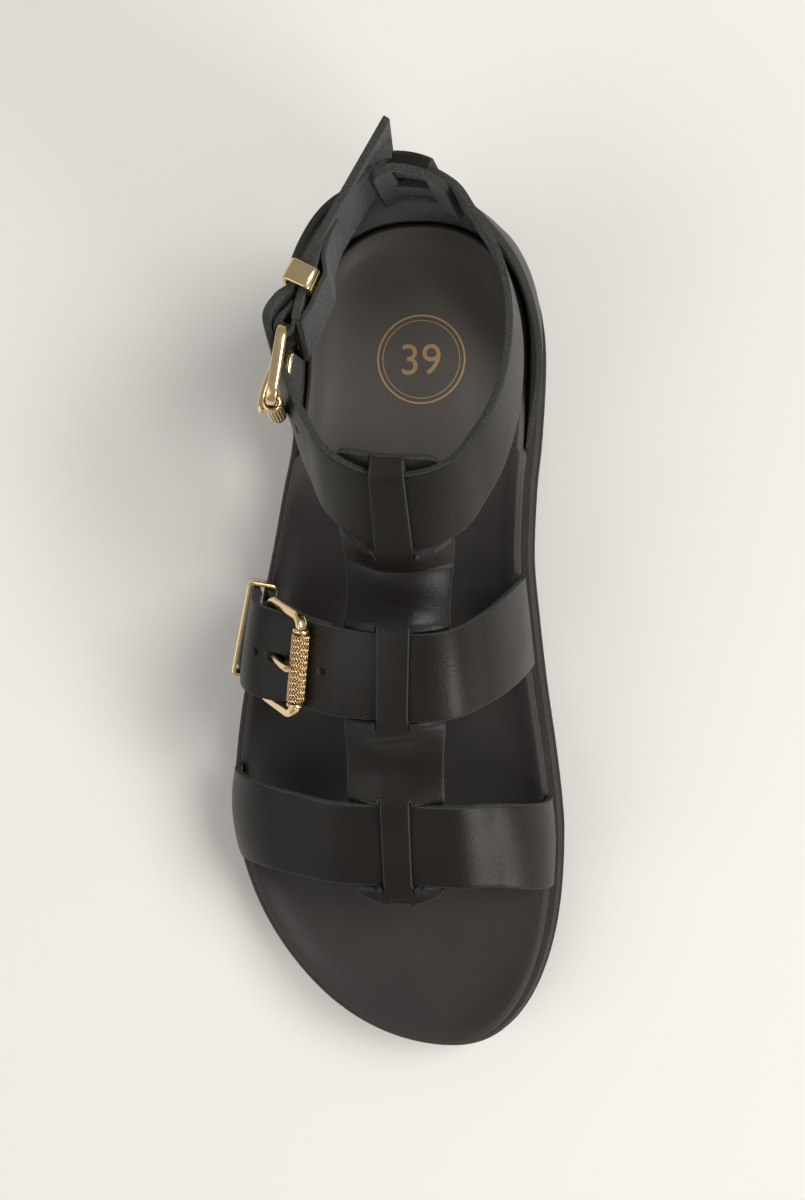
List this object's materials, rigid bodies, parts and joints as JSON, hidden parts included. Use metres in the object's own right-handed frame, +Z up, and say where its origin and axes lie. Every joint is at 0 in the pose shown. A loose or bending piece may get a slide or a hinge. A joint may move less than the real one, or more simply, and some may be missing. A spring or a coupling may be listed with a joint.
{
  "type": "gladiator sandal",
  "caption": "Flat black leather gladiator sandal for the right foot: strap upper with ankle band, heel counter, two gold roller buckles and a moulded footbed on a rubber sole.",
  "frame": {"origin": "middle of the underside of the whole shoe's box, on the floor", "axes": "+Z up, +Y towards the heel so the toe points along -Y, +X the inner side of the right foot"},
  "size_m": [0.1074, 0.2676, 0.1081],
  "materials": {
    "outsole_rubber": "matte",
    "midsole_rubber": "matte, finely pebbled",
    "footbed_leather": "matte",
    "strap_leather": "satin smooth grain",
    "gold_metal": "polished pale gold plating"
  },
  "bodies": {
    "root": {"outsole": "outsole_rubber", "midsole": "midsole_rubber", "footbed": "footbed_leather", "upper": "strap_leather", "instep_buckle_strap": "strap_leather", "instep_buckle_frame": "gold_metal", "instep_buckle_roller": "gold_metal", "instep_buckle_prong": "gold_metal", "instep_keeper": "gold_metal", "ankle_buckle_frame": "gold_metal", "ankle_buckle_roller": "gold_metal", "ankle_buckle_prong": "gold_metal", "ankle_keeper": "gold_metal"}
  },
  "joints": []
}
